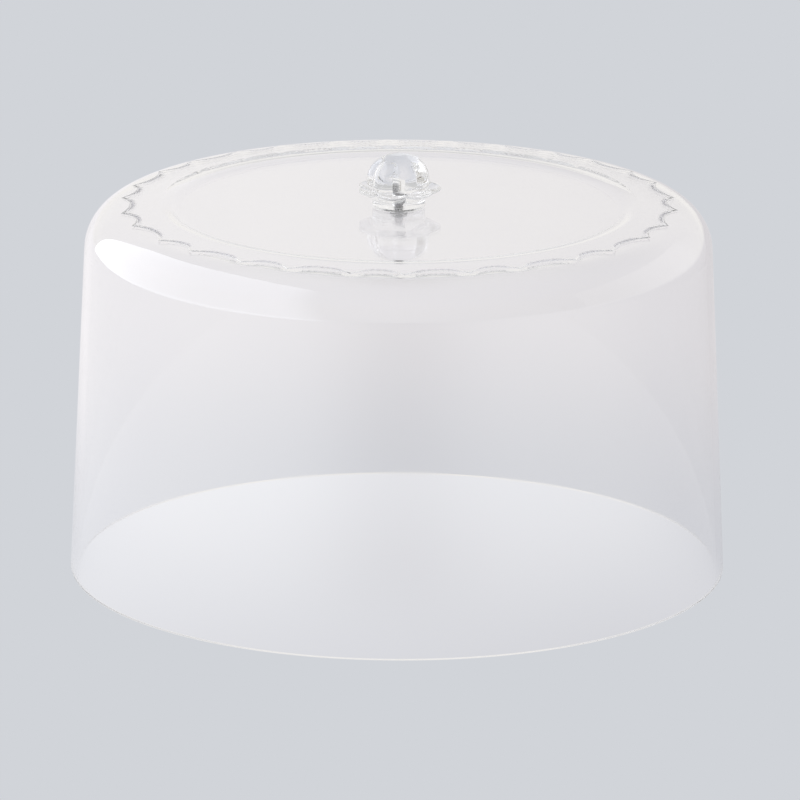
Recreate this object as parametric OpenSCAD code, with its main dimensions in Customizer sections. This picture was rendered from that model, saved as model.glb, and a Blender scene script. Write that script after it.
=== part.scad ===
// Clear moulded cake dome with a screwed-on flower-bud knob.
// Origin: centre of the plane that the rim stands on. +Z is the axis of symmetry.

/* [Dome] */
// Outer diameter of the rim
rim_d = 300; // [260:1:340]
// Height of the top of the shoulder above the rim
shoulder_h = 170; // [120:1:220]
// Draft of the flared wall, in degrees from vertical
wall_draft = 2.75; // [1:0.25:5]
// Radius of the round shoulder, outside
shoulder_r = 20.4; // [12:0.1:26]
// Thickness of the wall and of the deck
wall_t = 3; // [2:0.1:4]

/* [Border] */
// Width of the border's slope, from the shoulder up to the crest
border_w = 18; // [12:0.5:24]
// Rise of the border's slope, in degrees
border_slope = 4.3; // [2:0.1:6]
// Depth of the flat deck below the crest
deck_drop = 2.8; // [1:0.1:4]
// Width of the fall from the crest to the flat deck
crest_w = 5; // [3:0.5:10]
// Number of pairs of scallops, each one wide and one narrow
scallop_pairs = 15; // [12:1:20]
// Share of a pair's angle that the wide scallop takes
wide_share = 0.555; // [0.5:0.005:0.6]
// How far the points between the scallops reach past the top of the slope
cusp_reach = 2.1; // [0:0.1:3]
// Depth of the scallops, from the points inwards
scallop_depth = 4.5; // [3:0.1:6]
// Height of the scalloped step
scallop_step = 0.5; // [0.3:0.1:1.5]
// Angle from the front to the middle of the first wide scallop, in degrees
scallop_turn = 7.85; // [0:0.05:24]

/* [Knob] */
// Overall height of the knob above the deck
knob_h = 25.2; // [22:0.1:30]
// Radius of the neck
neck_r = 12.1; // [10:0.1:13]
// Radius of the bud inside its petals
bud_r = 9.8; // [9:0.1:11]
// Number of petals in each ring
petals = 7; // [5:1:9]
// Angle from +X to the first petal, in degrees
petal_turn = 0; // [0:1:51]
// Reach of the collar's petals
collar_r = 19.2; // [17:0.1:22]
// Reach of the notches between the collar's petals
notch_r = 15; // [14:0.1:16]
// Height of the collar's underside at the neck
collar_z = 4.2; // [3:0.1:6]
// Rise of the collar from the neck to its tips
collar_rise = 3.8; // [2:0.1:5]
// Thickness of the collar at its tips
collar_t = 1.3; // [1:0.1:2.5]
// Reach of the lower ring of petals
low_petal_r = 14.8; // [13:0.1:16]
// Height at which the tops of the lower petals begin to round over
low_petal_z = 11.3; // [10:0.1:13]
// Reach of the upper ring of petals
high_petal_r = 12.4; // [11:0.1:14]
// Height at which the tops of the upper petals begin to round over
high_petal_z = 17.4; // [15:0.1:18]

/* [Screw] */
// Nominal diameter of the screw
screw_d = 4; // [3:0.5:4]
// Length of the screw under its head
screw_len = 16; // [14:1:18]
// Diameter of the pan head
head_d = 8; // [6:0.1:9]
// Height of the pan head
head_h = 3.1; // [2:0.1:4]
// Outer diameter of the washer
washer_d = 9; // [8:0.1:12]
// Hole of the washer
washer_hole_d = 4.3; // [4.3:0.1:5]
// Thickness of the washer
washer_t = 0.8; // [0.5:0.1:1]
// Outer diameter of the seal ring
seal_d = 14; // [10:0.1:16]
// Hole of the seal ring
seal_hole_d = 5; // [4.6:0.1:6]
// Thickness of the seal ring
seal_t = 0.8; // [0.6:0.1:1.2]

/* [Hidden] */
$fn = 96;
arc_steps = 14;
hole_clearance = 0.25;
thread_clearance = 0.05;
// The foot stands this far off the deck, because the seal ring is thicker than its recess
foot_gap = 0.3;
recess_clearance = 0.3;
tip_clearance = 1.2;
// How far raised shapes reach down into the moulding that carries them
overlap = 0.6;
// Roundness of the petals in the two rings, seen from above, and of their top edges
low_round = 4.8;
high_round = 4.2;
petal_edge = 5;
petal_steps = 6;
// The petals' round top edge starts this far outside their tips, so that it cuts across them
edge_offset = 0.3;
// How far a cutting shape runs past what it cuts
past = 1;

rim_r = rim_d / 2;
inner_shoulder_r = shoulder_r - wall_t;
// Centre of the shoulder's arc, tangent to the drafted wall
arc_z = shoulder_h - shoulder_r;
arc_r = rim_r - (arc_z + shoulder_r * sin(wall_draft)) * tan(wall_draft)
    - shoulder_r * cos(wall_draft);
// The shoulder's arc runs from the wall to the foot of the border's slope
arc_end = 90 - border_slope;
border_r = arc_r + shoulder_r * sin(border_slope);
border_z = arc_z + shoulder_r * cos(border_slope);
crest_r = border_r - border_w;
crest_z = border_z + border_w * tan(border_slope);
deck_r = crest_r - crest_w;
deck_z = crest_z - deck_drop;
deck_under_z = deck_z - wall_t;
// The inside's corners lie further out than the outside's, so that the fall to the deck keeps its thickness
inner_shift = wall_t / 4;
rim_in_r = rim_r - wall_t / cos(wall_draft);

// The collar's petals are a little narrower than would touch each other
collar_fill = 0.92;
collar_round = collar_r * sin(180 / petals) * collar_fill;

cusp_r = border_r + cusp_reach;
scallop_in_r = cusp_r - scallop_depth;

foot_z = deck_z + foot_gap;
recess_h = seal_t - foot_gap;
head_z = deck_under_z - washer_t;
screw_tip_z = head_z + screw_len;
bore_depth = screw_tip_z - foot_z + tip_clearance;

// Points of an arc about [x, y] from angle a to angle b
function arc_points(x, y, r, a, b, steps) =
    [for (i = [0:steps]) let (t = a + (b - a) * i / steps) [x + r * cos(t), y + r * sin(t)]];

// Height of the border's unraised slope at radius r
function border_at(r) = border_z + (border_r - r) * tan(border_slope);

// Distance of a scallop's circle from the axis, for a scallop that spans 2 * half degrees
function scallop_centre(half) =
    (pow(cusp_r, 2) - pow(scallop_in_r, 2)) / (2 * (cusp_r * cos(half) - scallop_in_r));

// The wall, shoulder, border and sunken deck in section
module dome_section() {
    polygon(concat(
        [[rim_in_r, 0], [rim_r, 0]],
        arc_points(arc_r, arc_z, shoulder_r, wall_draft, arc_end, arc_steps),
        [[crest_r, crest_z], [deck_r, deck_z], [0, deck_z], [0, deck_under_z]],
        [[deck_r + inner_shift, deck_under_z], [crest_r + inner_shift, crest_z - wall_t]],
        arc_points(arc_r, arc_z, inner_shoulder_r, arc_end, wall_draft, arc_steps)
    ));
}

// Outline of the raised part of the border, with one arc bitten out for each scallop
module scallop_outline() {
    pair_angle = 360 / scallop_pairs;
    halves = [pair_angle * wide_share / 2, pair_angle * (1 - wide_share) / 2];
    difference() {
        circle(r = cusp_r + past);
        for (pair = [0:scallop_pairs - 1], kind = [0:1]) {
            centre = scallop_centre(halves[kind]);
            rotate(scallop_turn - 90 + pair * pair_angle + kind * pair_angle / 2)
                translate([centre, 0])
                    circle(r = centre - scallop_in_r);
        }
    }
}

// Ring that carries the scallops, in section. Its outer corner sinks into the falling shoulder
module border_section() {
    outer_r = cusp_r + 3;
    sink = 2;
    polygon([
        [crest_r, crest_z - overlap],
        [outer_r, border_at(outer_r) - overlap - sink],
        [outer_r, border_at(outer_r) + scallop_step],
        [crest_r, crest_z + scallop_step]
    ]);
}

module dome() {
    color([0.93, 0.94, 0.96, 0.35])
        difference() {
            union() {
                rotate_extrude() dome_section();
                intersection() {
                    rotate_extrude() border_section();
                    translate([0, 0, deck_under_z])
                        linear_extrude(height = 3 * wall_t)
                            scallop_outline();
                }
            }
            translate([0, 0, deck_under_z - past])
                cylinder(d = screw_d + 2 * hole_clearance, h = wall_t + 2 * past);
        }
}

// Neck and bud in section
module bud_section() {
    edge = 0.8;
    neck_top = collar_z + 2;
    bud_foot = collar_z + 5;
    polygon(concat(
        [[0, foot_gap], [neck_r - edge, foot_gap]],
        [[neck_r, foot_gap + edge], [neck_r, neck_top], [bud_r, bud_foot]],
        arc_points(0, knob_h - bud_r, bud_r, 0, 90, arc_steps)
    ));
}

// Upturned collar in section, from inside the neck out to the petals' tips
module collar_section() {
    root_r = neck_r - 3;
    root_t = 6.5;
    slope = collar_rise / (collar_r - neck_r);
    end_r = collar_r + past;
    end_z = collar_z + collar_rise + past * slope;
    polygon([
        [root_r, collar_z - (neck_r - root_r) * slope],
        [end_r, end_z],
        [end_r, end_z + collar_t],
        [root_r, collar_z - (neck_r - root_r) * slope + root_t]
    ]);
}

// Outline of a ring of round petals on a disc
module petal_outline(reach, disc_r, round_r) {
    union() {
        circle(r = disc_r);
        for (i = [0:petals - 1])
            rotate(petal_turn + i * 360 / petals)
                translate([reach - round_r, 0])
                    circle(r = round_r);
    }
}

// One ring of petals on the bud, upright from inside the collar to height z, where they round over
module petal_ring(reach, z, round_r) {
    root_z = collar_z + collar_rise - past;
    edge_r = reach + edge_offset;
    intersection() {
        rotate_extrude()
            polygon(concat(
                [[0, root_z], [edge_r, root_z]],
                arc_points(edge_r - petal_edge, z, petal_edge, 0, 90, petal_steps),
                [[0, z + petal_edge]]
            ));
        linear_extrude(height = knob_h)
            petal_outline(reach, bud_r - overlap, round_r);
    }
}

module knob() {
    color([0.90, 0.91, 0.94, 0.5])
        difference() {
            translate([0, 0, deck_z])
                union() {
                    rotate_extrude() bud_section();
                    intersection() {
                        rotate_extrude() collar_section();
                        linear_extrude(height = knob_h)
                            petal_outline(collar_r, notch_r, collar_round);
                    }
                    petal_ring(low_petal_r, low_petal_z, low_round);
                    petal_ring(high_petal_r, high_petal_z, high_round);
                }
            translate([0, 0, foot_z - past])
                cylinder(r = screw_d / 2 + thread_clearance, h = bore_depth + past);
            translate([0, 0, foot_z - past])
                cylinder(d = seal_d + 2 * recess_clearance, h = recess_h + past);
        }
}

module flat_ring(outer_d, hole_d, thick) {
    difference() {
        cylinder(d = outer_d, h = thick);
        translate([0, 0, -past])
            cylinder(d = hole_d, h = thick + 2 * past);
    }
}

module seal_ring() {
    color([0.85, 0.87, 0.88, 0.6])
        translate([0, 0, deck_z])
            flat_ring(seal_d, seal_hole_d, seal_t);
}

module washer() {
    color([0.72, 0.73, 0.75])
        translate([0, 0, head_z])
            flat_ring(washer_d, washer_hole_d, washer_t);
}

// Pan head below, with a cross recess, and a plain shank in place of the thread's crests
module screw() {
    head_r = head_d / 2;
    round_r = 1.6;
    head_steps = 6;
    recess_w = 1.1;
    recess_l = 4.4;
    recess_depth = 1.6;
    point = 0.5;
    color([0.62, 0.63, 0.66])
        translate([0, 0, head_z])
            difference() {
                rotate_extrude()
                    polygon(concat(
                        [[0, -head_h]],
                        arc_points(head_r - round_r, round_r - head_h, round_r, -90, 0, head_steps),
                        [[head_r, 0], [screw_d / 2, 0], [screw_d / 2, screw_len - point]],
                        [[screw_d / 2 - point, screw_len], [0, screw_len]]
                    ));
                for (turn = [0, 90])
                    rotate(turn)
                        translate([-recess_l / 2, -recess_w / 2, -head_h - past])
                            cube([recess_l, recess_w, recess_depth + past]);
            }
}

dome();
knob();
seal_ring();
washer();
screw();
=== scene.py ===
from math import atan2, cos, pi, radians, sin, sqrt, tan

import bmesh
import bpy
import numpy as np
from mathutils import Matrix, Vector


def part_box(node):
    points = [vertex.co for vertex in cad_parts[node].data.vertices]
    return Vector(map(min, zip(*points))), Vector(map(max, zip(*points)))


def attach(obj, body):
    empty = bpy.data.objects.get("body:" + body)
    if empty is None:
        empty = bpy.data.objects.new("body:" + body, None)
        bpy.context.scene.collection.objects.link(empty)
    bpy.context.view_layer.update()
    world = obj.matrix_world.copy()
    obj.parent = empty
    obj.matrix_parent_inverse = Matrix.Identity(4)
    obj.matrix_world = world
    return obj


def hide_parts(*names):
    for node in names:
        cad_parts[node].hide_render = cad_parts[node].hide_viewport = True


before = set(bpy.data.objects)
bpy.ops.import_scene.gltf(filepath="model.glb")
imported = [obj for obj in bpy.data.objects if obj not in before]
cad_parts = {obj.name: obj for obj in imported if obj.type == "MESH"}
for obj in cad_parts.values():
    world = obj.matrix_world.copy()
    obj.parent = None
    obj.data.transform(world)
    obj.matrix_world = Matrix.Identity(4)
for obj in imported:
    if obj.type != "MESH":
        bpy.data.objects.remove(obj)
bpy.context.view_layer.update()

MM = 0.001

# ---------------------------------------------------------------- the nodes' corners, in millimetres

DOME_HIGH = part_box("dome")[1] / MM
SEAL_LOW, SEAL_HIGH = (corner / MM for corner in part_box("seal_ring"))
WASHER_LOW, WASHER_HIGH = (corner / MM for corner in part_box("washer"))
SCREW_LOW, SCREW_HIGH = (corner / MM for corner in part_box("screw"))
KNOB_LOW, KNOB_HIGH = (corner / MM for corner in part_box("knob"))

# ---------------------------------------------------------------- the dome's sizes, in millimetres

RIM_R = DOME_HIGH.x
WALL_T = 3.0
WALL_DRAFT = radians(2.75)
WALL_SLOPE = tan(WALL_DRAFT)
RIM_IN_R = RIM_R - WALL_T / cos(WALL_DRAFT)
RIM_MIDDLE_R = (RIM_R + RIM_IN_R) / 2
RIM_EDGE = 0.7
SHOULDER_R = 20.4
SHOULDER_H = 170.0
BORDER_W = 18.0
BORDER_SLOPE = radians(4.3)
CREST_W = 5.0
DECK_Z = SEAL_LOW.z
DECK_UNDER_Z = DECK_Z - WALL_T
HOLE_R = 2.25
HOLE_EDGE = 0.2

ARC_Z = SHOULDER_H - SHOULDER_R
ARC_R = RIM_R - (ARC_Z + SHOULDER_R * sin(WALL_DRAFT)) * WALL_SLOPE - SHOULDER_R * cos(WALL_DRAFT)
BORDER_R = ARC_R + SHOULDER_R * sin(BORDER_SLOPE)
BORDER_Z = ARC_Z + SHOULDER_R * cos(BORDER_SLOPE)
CREST_R = BORDER_R - BORDER_W
CREST_Z = BORDER_Z + BORDER_W * tan(BORDER_SLOPE)
DECK_R = CREST_R - CREST_W
# The fall to the deck bends round about the same centres outside and inside, so that the sheet stays even.
# Its inner corners lie a little further out than its outer ones.
BEND_LONG, BEND_SHORT = 9.0, 6.0
DECK_SHIFT, CREST_SHIFT = 0.78, 0.68

SCALLOP_PAIRS = 15
WIDE_SHARE = 5 / 9
CUSP_R = BORDER_R + 2.1
SCALLOP_IN_R = CUSP_R - 4.5
SCALLOP_TURN = radians(7.85)
FLUTES_PER_PAIR = 18
FLUTE_DEPTH = 0.1
STEP_OUT = 0.14
GROOVE_DEPTH, GROOVE_W = 0.26, 0.5
BAND_W = 3.7
FROST_AND_SHADE_W = 2.7
# The finer mesh of the scalloped band lies between these radii
BAND_OUT_R = CUSP_R + 2.2
BAND_IN_R = SCALLOP_IN_R - BAND_W - 3

ROUND_STEPS = 360
FINE_STEPS = 6 * ROUND_STEPS

# ---------------------------------------------------------------- mesh helpers


def rounded(points, hold=0.35):
    """A section line through (r, z) or (r, z, radius, steps) points, with each given corner made an arc.

    A row stays hold away from each arc on both sides, so that shading doesn't bleed on to flat stretches."""
    line = []
    for i, point in enumerate(points):
        here = Vector(point[:2])
        if len(point) < 3 or i in (0, len(points) - 1):
            line.append(tuple(here))
            continue
        radius, steps = point[2], point[3]
        before = (Vector(points[i - 1][:2]) - here).normalized()
        after = (Vector(points[i + 1][:2]) - here).normalized()
        half = before.angle(after) / 2
        reach = radius / tan(half)
        centre = here + (before + after).normalized() * (radius / sin(half))
        start, end = here + before * reach - centre, here + after * reach - centre
        a, b = atan2(start.y, start.x), atan2(end.y, end.x)
        turn = (b - a + pi) % (2 * pi) - pi
        line.append(tuple(here + before * (reach + hold)))
        for k in range(steps + 1):
            t = a + turn * k / steps
            line.append((centre.x + radius * cos(t), centre.y + radius * sin(t)))
        line.append(tuple(here + after * (reach + hold)))
    return line


def angles(steps):
    """Angles from +X of the points in a row round the axis, which begins at the front."""
    return np.arange(steps) * 2 * pi / steps - pi / 2


def ring(radius, z, steps):
    """A row of points round the axis. radius and z may be arrays with one value a step."""
    angle = angles(steps)
    row = np.empty((steps, 3))
    row[:, 0] = radius * np.cos(angle)
    row[:, 1] = radius * np.sin(angle)
    row[:, 2] = z
    return row


def loft(name, rows, closed=False):
    """A mesh through rows of points round the axis.

    A row may hold one point, or a multiple of the count in the row beside it."""
    starts = np.cumsum([0] + [len(row) for row in rows])
    faces = []
    pairs = [(i, i + 1) for i in range(len(rows) - 1)]
    if closed:
        pairs.append((len(rows) - 1, 0))
    for i, j in pairs:
        n, m = len(rows[i]), len(rows[j])
        a, b = starts[i], starts[j]
        if n == m:
            faces += [(a + k, a + (k + 1) % n, b + (k + 1) % n, b + k) for k in range(n)]
        elif n == 1:
            faces += [(a, b + (k + 1) % m, b + k) for k in range(m)]
        elif m == 1:
            faces += [(a + k, a + (k + 1) % n, b) for k in range(n)]
        else:
            faces += fans(a, n, b, m) if n < m else [face[::-1] for face in fans(b, m, a, n)]
    mesh = bpy.data.meshes.new(name)
    mesh.from_pydata((np.concatenate(rows) * MM).tolist(), [], [tuple(int(v) for v in f) for f in faces])
    mesh.polygons.foreach_set("use_smooth", np.ones(len(mesh.polygons), bool))
    mesh.update()
    piece = bpy.data.objects.new(name, mesh)
    bpy.context.scene.collection.objects.link(piece)
    return piece


def fans(coarse, n, fine, m):
    """Triangles that join a row of n points to a row of m points, where m is a multiple of n."""
    k = m // n
    faces = []
    for i in range(n):
        near, far = coarse + i, coarse + (i + 1) % n
        for s in range(k):
            a, b = fine + i * k + s, fine + (i * k + s + 1) % m
            faces.append((near if s < k // 2 else far, b, a))
        faces.append((near, far, fine + i * k + k // 2))
    return faces


def recalculate_normals(piece):
    work = bmesh.new()
    work.from_mesh(piece.data)
    bmesh.ops.recalc_face_normals(work, faces=work.faces)
    work.to_mesh(piece.data)
    work.free()


def smooth_step(low, high, value):
    t = np.clip((value - low) / (high - low), 0, 1)
    return t * t * (3 - 2 * t)


# ---------------------------------------------------------------- dome


def scallop_arc(angle):
    """The scalloped line at angles from +X.

    Gives its radius, the distance to the nearest cusp in flutes, and the turn within a pair in flutes."""
    pair = 2 * pi / SCALLOP_PAIRS
    wide = pair * WIDE_SHARE
    turn = (angle + pi / 2 - SCALLOP_TURN + wide / 2) % pair
    is_wide = turn < wide
    half = np.where(is_wide, wide / 2, (pair - wide) / 2)
    phi = np.where(is_wide, turn - wide / 2, turn - wide - (pair - wide) / 2)
    centre = (CUSP_R**2 - SCALLOP_IN_R**2) / (2 * (CUSP_R * np.cos(half) - SCALLOP_IN_R))
    radius = centre - SCALLOP_IN_R
    arc = centre * np.cos(phi) - np.sqrt(radius**2 - (centre * np.sin(phi)) ** 2)
    flute = pair / FLUTES_PER_PAIR
    return arc, (half - np.abs(phi)) / flute, turn / flute


def base_height(radius):
    """Height of the shoulder's top and of the border's slope, before the scallops are raised on them."""
    on_arc = ARC_Z + np.sqrt(np.maximum(SHOULDER_R**2 - (radius - ARC_R) ** 2, 0))
    on_slope = BORDER_Z + (BORDER_R - radius) * tan(BORDER_SLOPE)
    return np.where(radius > BORDER_R, on_arc, on_slope)


def lace_height(offset, from_cusp, flute_turn):
    """How far the border stands up at an offset outside (+) or inside (-) the scalloped line.

    A low step has a groove along its foot and a band of flutes behind it."""
    step = STEP_OUT * smooth_step(0.25, -0.25, offset)
    groove = GROOVE_DEPTH * np.exp(-(((offset - 0.1) / GROOVE_W) ** 2))
    inside_band = smooth_step(-0.2, -0.6, offset) * smooth_step(-BAND_W + 0.4, -0.8, offset)
    flutes = 0.5 + 0.5 * np.cos(2 * pi * flute_turn)
    return step - groove - FLUTE_DEPTH * flutes * inside_band * smooth_step(0.3, 1.0, from_cusp)


def lace_frost_and_shade(offset, from_cusp, flute_turn):
    """How frosted the fluted band is, 0 to 1, and so how much painted shade greys it. It fades inwards, and
    is widest in the middle of a scallop.
    """
    width = FROST_AND_SHADE_W * smooth_step(0.2, 2.6, from_cusp)
    across = smooth_step(0.1, -0.5, offset) * smooth_step(-0.1, 2.0, offset + width)
    return across * smooth_step(0.2, 1.6, from_cusp) * (0.75 + 0.25 * np.cos(2 * pi * flute_turn))


def shoulder_arc(radius, start, end, steps):
    """Points about the shoulder's centre."""
    turns = [start + (end - start) * k / steps for k in range(steps + 1)]
    return [(ARC_R + radius * cos(t), ARC_Z + radius * sin(t)) for t in turns]


def outside_section():
    """From the rim up the outside of the wall and round the shoulder, to where the scalloped band begins."""
    end = float(atan2(base_height(BAND_OUT_R) - ARC_Z, BAND_OUT_R - ARC_R))
    section = rounded([(RIM_MIDDLE_R, 0), (RIM_R, 0, RIM_EDGE, 5), (RIM_R - 20 * WALL_SLOPE, 20)])
    section += [(RIM_R - z * WALL_SLOPE, z) for z in range(30, 150, 15)]
    return section[1:] + shoulder_arc(SHOULDER_R, WALL_DRAFT, end, 26)


def band_lines(arc):
    """Radii of the band's rows, from the outside in. They follow the scallops, closest at the line."""
    offsets = [1.8, 1.3, 1.05, 0.85, 0.7, 0.55, 0.45, 0.35, 0.25, 0.15, 0.05, -0.05, -0.2, -0.35, -0.5]
    offsets += list(np.linspace(-0.7, -BAND_W + 0.7, 8))
    offsets += [-BAND_W + shift for shift in (0.3, 0.0, -0.4, -0.8)]
    outer = [BAND_OUT_R + (arc + offsets[0] - BAND_OUT_R) * share for share in (0.25, 0.5, 0.75)]
    middle = (arc + offsets[-1] + BAND_IN_R) / 2
    return outer + [arc + offset for offset in offsets] + [middle, np.full_like(arc, BAND_IN_R)]


def inside_section():
    """Over the crest, down to the deck, through the screw hole and back to the rim along the inside."""
    slope_r = BAND_IN_R - 1.5
    fall = rounded([
        (slope_r, float(base_height(slope_r)) + STEP_OUT),
        (CREST_R, CREST_Z + STEP_OUT, BEND_LONG, 10),
        (DECK_R, DECK_Z, BEND_SHORT, 8),
        (HOLE_R, DECK_Z, HOLE_EDGE, 3),
        (HOLE_R, DECK_UNDER_Z, HOLE_EDGE, 3),
        (DECK_R + DECK_SHIFT, DECK_UNDER_Z, BEND_LONG, 10),
        (CREST_R + CREST_SHIFT, CREST_Z - WALL_T, BEND_SHORT, 8),
        (BORDER_R, BORDER_Z - WALL_T),
    ])
    deck_radii = (90, 75, 60, 45, 30, 18, 9)
    hole = next(i for i, (r, z) in enumerate(fall) if r < deck_radii[-1])
    under = next(i for i, (r, z) in enumerate(fall) if i > hole and r > deck_radii[-1])
    section = fall[:hole] + [(r, DECK_Z) for r in deck_radii] + fall[hole:under]
    section += [(r, DECK_UNDER_Z) for r in deck_radii[::-1]] + fall[under:]
    section += shoulder_arc(SHOULDER_R - WALL_T, pi / 2 - BORDER_SLOPE, WALL_DRAFT, 24)[1:]
    section += [(RIM_IN_R - z * WALL_SLOPE, z) for z in range(135, 20, -15)]
    rim = rounded([(RIM_IN_R - 15 * WALL_SLOPE, 15), (RIM_IN_R, 0, RIM_EDGE, 5), (RIM_MIDDLE_R, 0)])
    return section + rim[:-1]


def make_dome():
    """One clear moulding. Its "frost_and_shade" attribute says where the fluted band is frosted and greyed
    with painted shade.
    """
    rows = [ring(r, z, ROUND_STEPS) for r, z in outside_section()]
    frost_and_shade = [np.zeros(ROUND_STEPS * len(rows))]
    arc, from_cusp, flute_turn = scallop_arc(angles(FINE_STEPS))
    for line in band_lines(arc):
        height = base_height(line) + lace_height(line - arc, from_cusp, flute_turn)
        rows.append(ring(line, height, FINE_STEPS))
        frost_and_shade.append(lace_frost_and_shade(line - arc, from_cusp, flute_turn))
    section = inside_section()
    rows += [ring(r, z, ROUND_STEPS) for r, z in section]
    frost_and_shade.append(np.zeros(ROUND_STEPS * len(section)))
    dome = loft("dome_moulding", rows, closed=True)
    layer = dome.data.attributes.new("frost_and_shade", "FLOAT", "POINT")
    layer.data.foreach_set("value", np.concatenate(frost_and_shade).astype(np.float32))
    recalculate_normals(dome)
    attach(dome, "cover")
    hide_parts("dome")
    return dome


# ---------------------------------------------------------------- knob
# Radii from the axis and heights above the deck, in millimetres

PETALS = 7
PETAL_TURN = pi / 2
PETAL_STEPS = 48
KNOB_H = KNOB_HIGH.z - DECK_Z
NECK_R = 12.1
FOOT_Z = KNOB_LOW.z - DECK_Z
# The bud: one ring of closed petals, each between two of the collar's
BUD_R = 14.6
BUD_PETAL_R = 7.0
BUD_CREASE_R = 0.86 * BUD_R
BUD_WIDE_Z = 11.6
BUD_FOOT_Z = 9.4
BUD_TUCK = 1.3
BUD_FULLNESS = 2.4
BUD_ROWS = 75
# The collar of open petals
COLLAR_R = 19.2
COLLAR_PETAL_R = 7.66
COLLAR_TOP_Z, COLLAR_LOW_Z, COLLAR_NECK_Z = 10.0, 8.2, 4.6
COLLAR_EDGE = 0.85
COLLAR_CUP = 0.5
DISH_R, DISH_Z = 13.3, 8.4
# The seal's recess and the screw's bore
RECESS_R = SEAL_HIGH.x + 0.3
RECESS_Z = SEAL_HIGH.z - DECK_Z
BORE_R = 2.05
BORE_TOP = SCREW_HIGH.z - DECK_Z + 1.2
BORE_EDGE = 0.15


def petal_angle(angle, turn):
    """Angle from the middle of the nearest petal, when one petal is at the given turn from the front."""
    pitch = 2 * pi / PETALS
    return (angle + pi / 2 - turn + pitch / 2) % pitch - pitch / 2


def round_petal(phi, reach, radius):
    """Reach of a round lobe at an angle from its middle, where its tip is at reach. 0 where it has none."""
    centre = reach - radius
    inside = radius**2 - (centre * np.sin(phi)) ** 2
    return np.where(inside > 0, centre * np.cos(phi) + np.sqrt(np.maximum(inside, 0)), 0)


def blended_max(a, b, blend):
    """The larger of two radii, with the crease between them filled to a soft fillet."""
    share = np.clip(0.5 + 0.5 * (a - b) / blend, 0, 1)
    return b + (a - b) * share + blend * share * (1 - share)


def bud_radius(phi, z):
    """Radius of the bud at height z above the deck, at angles from the middle of the nearest petal."""
    rise = np.clip((z - BUD_WIDE_Z) / (KNOB_H - BUD_WIDE_Z), 0, 1)
    tuck = BUD_TUCK * (min(z - BUD_WIDE_Z, 0) / (BUD_WIDE_Z - BUD_FOOT_Z)) ** 2
    profile = BUD_R * sqrt(1 - rise**BUD_FULLNESS) - tuck
    petal = round_petal(phi, BUD_R, BUD_PETAL_R)
    crease = blended_max(petal, np.full_like(phi, BUD_CREASE_R), 0.8) / BUD_R
    closing = 1 - smooth_step(0.7, 0.97, rise)
    return profile * (1 - closing * (1 - crease))


def bud_rows(angle):
    """From the tip down to the collar."""
    phi = petal_angle(angle, PETAL_TURN + pi / PETALS)
    heights = [BUD_FOOT_Z + (KNOB_H - BUD_FOOT_Z) * cos(pi / 2 * k / BUD_ROWS) for k in range(1, BUD_ROWS)]
    tip = ring(0, DECK_Z + KNOB_H, 1)
    return [tip] + [ring(bud_radius(phi, z), DECK_Z + z, len(angle)) for z in heights]


def collar_rows(angle):
    """Out along the collar's top, round the petals' edges, back to the neck, and down to foot and bore."""
    phi = petal_angle(angle, PETAL_TURN)
    reach = round_petal(phi, COLLAR_R, COLLAR_PETAL_R)
    stretch = (reach - NECK_R) / (COLLAR_R - NECK_R)
    section = rounded([
        (DISH_R, BUD_FOOT_Z),
        (DISH_R, DISH_Z, 0.5, 4),
        (COLLAR_R, COLLAR_TOP_Z, COLLAR_EDGE, 8),
        (COLLAR_R, COLLAR_LOW_Z, COLLAR_EDGE, 8),
        (NECK_R, COLLAR_NECK_Z, 1.2, 5),
        (NECK_R, FOOT_Z, 0.8, 5),
        (RECESS_R, FOOT_Z, BORE_EDGE, 2),
        (RECESS_R, RECESS_Z, BORE_EDGE, 2),
        (BORE_R, RECESS_Z, BORE_EDGE, 2),
        (BORE_R, BORE_TOP - 1),
    ], hold=0.15)
    rows = []
    for r, z in section[1:]:
        if r > NECK_R + 0.05 and z > 4:
            share = (r - NECK_R) / (COLLAR_R - NECK_R)
            cup = COLLAR_CUP * share * (np.abs(phi) * PETALS / pi) ** 2
            rows.append(ring(NECK_R + (r - NECK_R) * stretch, DECK_Z + z + cup, len(angle)))
        else:
            rows.append(ring(r, DECK_Z + z, len(angle)))
    return rows + [ring(0, DECK_Z + BORE_TOP, 1)]


def make_knob():
    """One clear solid moulding."""
    angle = angles(PETALS * PETAL_STEPS)
    knob = loft("knob_moulding", bud_rows(angle) + collar_rows(angle))
    recalculate_normals(knob)
    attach(knob, "handle")
    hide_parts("knob")
    return knob


# ---------------------------------------------------------------- screw, washer and seal

SHANK_R = 2.0
PITCH = 0.7
THREAD_DEPTH = 0.42
THREAD_ROWS = 12
TIP_H, TIP_CUT = 0.6, 0.25
HEAD_ROUND = 1.7
# Clear faces at exactly the same place would render black, so the washer and the seal stand this far off
HAIR = 0.02


def make_screw():
    """Pan head with a cross recess below, threaded shank above."""
    steps = 48
    head_z, head_low, head_r = WASHER_LOW.z, SCREW_LOW.z, SCREW_HIGH.x
    tip_z = SCREW_HIGH.z
    head = rounded([
        (0.2, head_low),
        (head_r, head_low, HEAD_ROUND, 10),
        (head_r, head_z, 0.15, 3),
        (SHANK_R, head_z),
    ], hold=0.1)
    rows = [ring(0, head_low, 1)] + [ring(r, z, steps) for r, z in head]
    angle = np.arange(steps) / steps
    for z in np.arange(head_z + 0.1, tip_z - 0.05, PITCH / THREAD_ROWS):
        phase = (z / PITCH - angle) % 1
        crest = smooth_step(0.06, 0.42, phase) * smooth_step(0.94, 0.58, phase)
        full = min(1, max(0, (tip_z - z) / TIP_H))
        root_r = SHANK_R - THREAD_DEPTH - TIP_CUT * (1 - full)
        rows.append(ring(root_r + THREAD_DEPTH * crest * full, z, steps))
    rows.append(ring(SHANK_R - 0.9, tip_z, steps))
    rows.append(ring(0, tip_z, 1))
    screw = loft("machine_screw", rows)
    recalculate_normals(screw)
    cut_cross_recess(screw, head_low)
    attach(screw, "cover")
    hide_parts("screw")
    return screw


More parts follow.
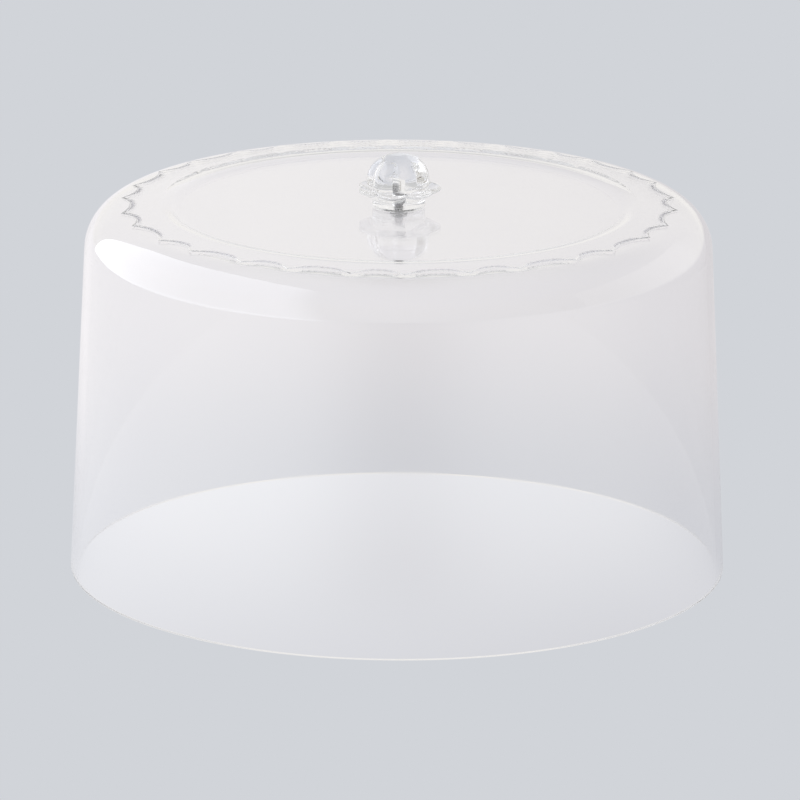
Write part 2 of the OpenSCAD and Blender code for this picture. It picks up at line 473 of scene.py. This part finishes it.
def cut_cross_recess(screw, head_low):
    """A tapered cross in the head, as a driver needs."""
    cutter = bmesh.new()
    # Height above the head's face, half length and half width of each bar, at its mouth and at its floor
    levels = ((-0.5, 2.25, 0.55), (1.9, 1.3, 0.4))
    for along_x in (True, False):
        corners = []
        for z, long_half, short_half in levels:
            x, y = (long_half, short_half) if along_x else (short_half, long_half)
            for sx, sy in ((-1, -1), (1, -1), (1, 1), (-1, 1)):
                corners.append(cutter.verts.new((sx * x * MM, sy * y * MM, (head_low + z) * MM)))
        quads = [(3, 2, 1, 0), (4, 5, 6, 7)] + [(i, (i + 1) % 4, (i + 1) % 4 + 4, i + 4) for i in range(4)]
        for quad in quads:
            cutter.faces.new([corners[i] for i in quad])
    mesh = bpy.data.meshes.new("cross_cutter")
    cutter.to_mesh(mesh)
    cutter.free()
    tool = bpy.data.objects.new("cross_cutter", mesh)
    bpy.context.scene.collection.objects.link(tool)
    cut = screw.modifiers.new("cross", "BOOLEAN")
    cut.object = tool
    cut.operation = "DIFFERENCE"
    cut.solver = "EXACT"
    cut.use_self = True
    depsgraph = bpy.context.evaluated_depsgraph_get()
    result = bpy.data.meshes.new_from_object(screw.evaluated_get(depsgraph))
    screw.modifiers.clear()
    screw.data = result
    bpy.data.objects.remove(tool)


def flat_ring(name, low, high, hole_r, edge, body, node):
    """A washer shape between a node's corners, with soft edges, and a hair off its neighbours."""
    outer_r, low_z, high_z = high.x, low.z + HAIR, high.z - HAIR
    middle = (outer_r + hole_r) / 2
    corners = [(outer_r, low_z), (outer_r, high_z), (hole_r, high_z), (hole_r, low_z)]
    section = [(middle, low_z)] + [(r, z, edge, 4) for r, z in corners] + [(middle - 0.01, low_z)]
    piece = loft(name, [ring(r, z, 96) for r, z in rounded(section, hold=0.05)], closed=True)
    recalculate_normals(piece)
    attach(piece, body)
    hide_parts(node)
    return piece


# ---------------------------------------------------------------- materials

DOME_TINT = (0.99, 0.992, 0.994)
KNOB_TINT = (0.955, 0.965, 0.985)
# Painted shade: a grey tint that darkens the frosted fluted band
PAINTED_LACE_SHADE = (0.68, 0.68, 0.77)


def new_material(name):
    material = bpy.data.materials.new(name)
    material.use_nodes = True
    nodes = material.node_tree.nodes
    return material, nodes, material.node_tree.links, nodes["Principled BSDF"]


def noise(nodes, links, scale, detail, stretch=None):
    """A noise texture in the piece's own metres."""
    place = nodes.new("ShaderNodeTexCoord").outputs["Object"]
    texture = nodes.new("ShaderNodeTexNoise")
    texture.inputs["Scale"].default_value = scale
    texture.inputs["Detail"].default_value = detail
    if stretch:
        mapping = nodes.new("ShaderNodeMapping")
        mapping.inputs["Scale"].default_value = stretch
        links.new(place, mapping.inputs["Vector"])
        place = mapping.outputs["Vector"]
    links.new(place, texture.inputs["Vector"])
    return texture.outputs["Fac"]


def remapped(nodes, links, source, start, end, low=0.0, high=1.0, smooth=False):
    """A value that goes from low to high as the source value goes from start to end."""
    span = nodes.new("ShaderNodeMapRange")
    span.interpolation_type = "SMOOTHSTEP" if smooth else "LINEAR"
    span.inputs["From Min"].default_value = start
    span.inputs["From Max"].default_value = end
    span.inputs["To Min"].default_value = low
    span.inputs["To Max"].default_value = high
    links.new(source, span.inputs["Value"])
    return span.outputs["Result"]


def mixed(nodes, links, factor, a, b):
    """A colour that goes from a to b with the factor. Each is a colour or another node's output."""
    tone = nodes.new("ShaderNodeMix")
    tone.data_type = "RGBA"
    links.new(factor, tone.inputs["Factor"])
    for name, value in (("A", a), ("B", b)):
        if isinstance(value, tuple):
            tone.inputs[name].default_value = (*value, 1)
        else:
            links.new(value, tone.inputs[name])
    return tone.outputs["Result"]


def add_bump(nodes, links, shader, height, distance, strength):
    bump = nodes.new("ShaderNodeBump")
    bump.inputs["Distance"].default_value = distance
    bump.inputs["Strength"].default_value = strength
    links.new(height, bump.inputs["Height"])
    links.new(bump.outputs["Normal"], shader.inputs["Normal"])


def textured_roughness(nodes, links, texture, low, high):
    """Roughness that follows the middle of a noise texture's range."""
    return remapped(nodes, links, texture, 0.35, 0.65, low, high)


def clear_plastic(name, tint, haze, wave, frost_rough=0.0):
    """Moulded clear acrylic: polished, with faint haze and waves. Frosted, and greyed as painted shade, where
    "frost_and_shade" says.
    """
    material, nodes, links, shader = new_material(name)
    shader.inputs["Transmission Weight"].default_value = 1.0
    shader.inputs["IOR"].default_value = 1.49
    rough = textured_roughness(nodes, links, noise(nodes, links, 38, 4), *haze)
    colour = mixed(nodes, links, noise(nodes, links, 9, 3), tint, (1, 1, 1))
    if frost_rough:
        frost_and_shade = nodes.new("ShaderNodeAttribute")
        frost_and_shade.attribute_name = "frost_and_shade"
        frosted = nodes.new("ShaderNodeMath")
        frosted.operation = "MULTIPLY_ADD"
        frosted.inputs[1].default_value = frost_rough
        links.new(frost_and_shade.outputs["Fac"], frosted.inputs[0])
        links.new(rough, frosted.inputs[2])
        rough = frosted.outputs["Value"]
        # Painted shade: where the band is frosted, its colour is greyed towards a dark tint
        colour = mixed(nodes, links, frost_and_shade.outputs["Fac"], colour, PAINTED_LACE_SHADE)
    links.new(rough, shader.inputs["Roughness"])
    links.new(colour, shader.inputs["Base Color"])
    add_bump(nodes, links, shader, noise(nodes, links, 14, 2, (1, 1, 0.4)), wave, 0.6)
    return material


def silicone(name, dark, light):
    """Clear silicone with a little milkiness."""
    material, nodes, links, shader = new_material(name)
    shader.inputs["Transmission Weight"].default_value = 0.6
    shader.inputs["IOR"].default_value = 1.41
    milk = noise(nodes, links, 120, 3)
    links.new(textured_roughness(nodes, links, milk, 0.3, 0.5), shader.inputs["Roughness"])
    links.new(mixed(nodes, links, milk, dark, light), shader.inputs["Base Color"])
    return material


def plated_steel(name, dark, light, rough):
    """Dull plated steel with a fine grain."""
    material, nodes, links, shader = new_material(name)
    shader.inputs["Metallic"].default_value = 0.3
    grain = noise(nodes, links, 900, 3, (1, 1, 6))
    links.new(textured_roughness(nodes, links, grain, rough - 0.06, rough + 0.08), shader.inputs["Roughness"])
    links.new(mixed(nodes, links, grain, dark, light), shader.inputs["Base Color"])
    add_bump(nodes, links, shader, grain, 0.03 * MM, 0.4)
    return material


def paint(piece, material):
    piece.data.materials.clear()
    piece.data.materials.append(material)


# ---------------------------------------------------------------- stage, lights and camera, in metres

BACKDROP_GREY = (0.638, 0.658, 0.694)
# Painted light and shade on the floor, which only the clear plastic sees
TABLE_TONE = np.array((0.765, 0.77, 0.805))
FRONT_TONE = np.array((1.0, 0.98, 0.95))
FRONT_SHADE = np.array((0.85, 0.87, 0.88))
BEHIND_TONE = np.array((0.66, 0.67, 0.71))
FAR_TONE = np.array((0.81, 0.79, 0.81))
SHADE_SPREAD = 24
# How much brighter the table is at the dome's back edge, and how much dimmer each zone is at its right
TABLE_BACK_RISE = 0.07
TABLE_FALL, FRONT_FALL, BEHIND_FALL = 0.055, 0.05, 0.12
FLOOR_R = 9.0
FLOOR_DROP = 0.0002
FLOOR_STEPS = 180
ROOM_FRONT, ROOM_BACK, ROOM_TOP = (0.57, 0.55, 0.5), (0.9, 0.88, 0.86), (0.6, 0.6, 0.6)
LAMP_LEAN = 0.28

CAMERA_ELEVATION = radians(15.57)
CAMERA_DISTANCE = 3.389
CAMERA_ROLL = radians(0.27)
CAMERA_LENS = 333.4
CAMERA_TARGET = Vector((0.001, 0, 0.0776))


def floor_tone(x, y):
    """Painted light and shade that the floor sends to the clear plastic, at columns of points. -y is the
    front.

    Under the dome it is nearly even. In front of the dome a painted dark streak of shade runs forward over a
    bright floor, and the walls mirror it as the dome's darker middle. Behind the dome painted shade lies
    close to it, and the floor brightens with distance."""
    reach = np.hypot(x, y)
    bearing = np.degrees(np.abs(np.arctan2(x, -y)))
    right = np.clip(x / 0.3, -1, 1)
    back_edge, right_edge = np.clip(y / 0.15, -1, 1), np.clip(x / 0.15, -1, 1)
    under = TABLE_TONE + TABLE_BACK_RISE * back_edge - TABLE_FALL * right_edge
    front = FRONT_TONE - FRONT_SHADE * np.exp(-((bearing / SHADE_SPREAD) ** 2)) - FRONT_FALL * right
    front = under + (front - under) * smooth_step(0.14, 0.4, reach)
    behind = BEHIND_TONE + (FAR_TONE - BEHIND_TONE) * smooth_step(0.1, 0.5, reach) - BEHIND_FALL * right
    around = front + (behind - front) * smooth_step(62, 100, bearing)
    return np.where(reach < RIM_R * MM, under, around)


def split_by_ray(nodes, links, seen, shown, out):
    """Gives the camera the seen shader, and reflections and refractions the shown one."""
    path = nodes.new("ShaderNodeLightPath")
    mix = nodes.new("ShaderNodeMixShader")
    links.new(path.outputs["Is Camera Ray"], mix.inputs["Fac"])
    links.new(shown.outputs[0], mix.inputs[1])
    links.new(seen.outputs[0], mix.inputs[2])
    links.new(mix.outputs["Shader"], out.inputs["Surface"])


def make_stage():
    """A flat pale floor that gives its own light: an even grey to the camera, floor_tone to the plastic."""
    reaches = list(np.linspace(0.02, 0.98, 9) * RIM_R) + [RIM_R - 0.3, RIM_R + 0.3]
    reaches += list(np.geomspace(RIM_R * 1.05, FLOOR_R / MM, 44))
    rows = [ring(0, 0, 1)] + [ring(reach, 0, FLOOR_STEPS) for reach in reaches]
    floor = loft("floor", rows)
    floor.location.z = -FLOOR_DROP
    points = np.concatenate(rows) * MM
    tone = np.ones((len(points), 4), np.float32)
    tone[:, :3] = floor_tone(points[:, 0:1], points[:, 1:2])
    layer = floor.data.color_attributes.new("tone", "FLOAT_COLOR", "POINT")
    layer.data.foreach_set("color", tone.ravel())
    material = bpy.data.materials.new("pale_floor")
    material.use_nodes = True
    nodes, links = material.node_tree.nodes, material.node_tree.links
    nodes.clear()
    seen = nodes.new("ShaderNodeEmission")
    seen.inputs["Color"].default_value = (*BACKDROP_GREY, 1)
    lit = nodes.new("ShaderNodeAttribute")
    lit.attribute_name = "tone"
    shown = nodes.new("ShaderNodeEmission")
    links.new(lit.outputs["Color"], shown.inputs["Color"])
    split_by_ray(nodes, links, seen, shown, nodes.new("ShaderNodeOutputMaterial"))
    paint(floor, material)
    return floor


def make_world():
    """A pale room that gives its own light: even grey to the camera, and brightest behind to the plastic."""
    world = bpy.data.worlds.new("studio")
    bpy.context.scene.world = world
    world.use_nodes = True
    nodes, links = world.node_tree.nodes, world.node_tree.links
    nodes.clear()
    axes = nodes.new("ShaderNodeSeparateXYZ")
    links.new(nodes.new("ShaderNodeTexCoord").outputs["Generated"], axes.inputs["Vector"])
    backward = remapped(nodes, links, axes.outputs["Y"], -0.15, 0.35)
    upward = remapped(nodes, links, axes.outputs["Z"], 0.45, 0.75)
    walls = mixed(nodes, links, backward, ROOM_FRONT, ROOM_BACK)
    shown = nodes.new("ShaderNodeBackground")
    links.new(mixed(nodes, links, upward, walls, ROOM_TOP), shown.inputs["Color"])
    seen = nodes.new("ShaderNodeBackground")
    seen.inputs["Color"].default_value = (*BACKDROP_GREY, 1)
    split_by_ray(nodes, links, seen, shown, nodes.new("ShaderNodeOutputWorld"))


def softbox(name, start, end, height, radiance, colour, dark_y, full_y):
    """An upright lamp that stands on the floor from start to end. The clear plastic only mirrors it.

    It fades in from y = dark_y to y = full_y, with its edge leaning by LAMP_LEAN."""
    start, end = Vector((*start, 0)), Vector((*end, 0))
    light = bpy.data.lights.new(name, "AREA")
    light.shape = "RECTANGLE"
    light.size, light.size_y = (end - start).length, height
    light.energy = radiance * pi * light.size * height
    light.color = colour
    light.use_nodes = True
    nodes, links = light.node_tree.nodes, light.node_tree.links
    slant = nodes.new("ShaderNodeVectorMath")
    slant.operation = "DOT_PRODUCT"
    slant.inputs[1].default_value = (0, 1, -LAMP_LEAN)
    links.new(nodes.new("ShaderNodeNewGeometry").outputs["Position"], slant.inputs[0])
    strength = remapped(nodes, links, slant.outputs["Value"], dark_y, full_y, smooth=True)
    links.new(strength, nodes["Emission"].inputs["Strength"])
    lamp = bpy.data.objects.new(name, light)
    bpy.context.scene.collection.objects.link(lamp)
    middle = (start + end) / 2
    lamp.location = (middle.x, middle.y, height / 2)
    inward = Vector((0, 0, 1)).cross(end - start)
    if inward.dot(middle) > 0:
        inward = -inward
    lamp.rotation_euler = inward.to_track_quat("-Z", "Y").to_euler()
    lamp.visible_camera = False
    lamp.visible_transmission = False
    return lamp


def make_camera():
    """Long lens, a little above the dome."""
    camera_data = bpy.data.cameras.new("camera")
    camera_data.sensor_width = 36
    camera_data.lens = CAMERA_LENS
    camera_data.clip_end = 60
    camera = bpy.data.objects.new("camera", camera_data)
    bpy.context.scene.collection.objects.link(camera)
    away = Vector((0, -cos(CAMERA_ELEVATION), sin(CAMERA_ELEVATION)))
    camera.location = CAMERA_TARGET + CAMERA_DISTANCE * away
    camera.rotation_euler = (CAMERA_TARGET - camera.location).to_track_quat("-Z", "Y").to_euler()
    camera.rotation_euler.rotate_axis("Z", CAMERA_ROLL)
    bpy.context.scene.camera = camera


make_camera()
make_world()
make_stage()
softbox("left_window", start=(-3.06, 4.36), end=(-1.0, -2.5), height=4.0,
        radiance=2.1, colour=(0.9, 0.93, 1.0), dark_y=-2.5, full_y=-1.6)
softbox("right_window", start=(3.8, -1.4), end=(2.64, 4.4), height=2.4,
        radiance=0.42, colour=(1.0, 0.98, 0.95), dark_y=4.3, full_y=1.6)
bpy.context.scene.view_settings.view_transform = "Standard"
# Light stays inside clear plastic for many bounces
bpy.context.scene.cycles.max_bounces = 256
bpy.context.scene.cycles.transmission_bounces = 256
bpy.context.scene.cycles.glossy_bounces = 256

dome = make_dome()
knob = make_knob()
screw = make_screw()
washer = flat_ring("steel_washer", WASHER_LOW, WASHER_HIGH, hole_r=2.15, edge=0.12,
                   body="cover", node="washer")
seal = flat_ring("silicone_seal", SEAL_LOW, SEAL_HIGH, hole_r=2.5, edge=0.2,
                 body="seal", node="seal_ring")

paint(dome, clear_plastic("dome_acrylic", DOME_TINT, haze=(0.015, 0.05), wave=0.2 * MM, frost_rough=0.5))
paint(knob, clear_plastic("knob_acrylic", KNOB_TINT, haze=(0.0, 0.02), wave=0.05 * MM))
paint(seal, silicone("clear_silicone", dark=(0.86, 0.87, 0.88), light=(0.95, 0.95, 0.95)))
paint(washer, plated_steel("washer_steel", dark=(0.66, 0.66, 0.68), light=(0.8, 0.8, 0.82), rough=0.4))
# The screw's steel is painted almost white, as painted light for the little light that reaches it inside the
# knob's clear bore
paint(screw, plated_steel("screw_steel", dark=(0.9, 0.9, 0.93), light=(0.98, 0.98, 1.0), rough=0.5))
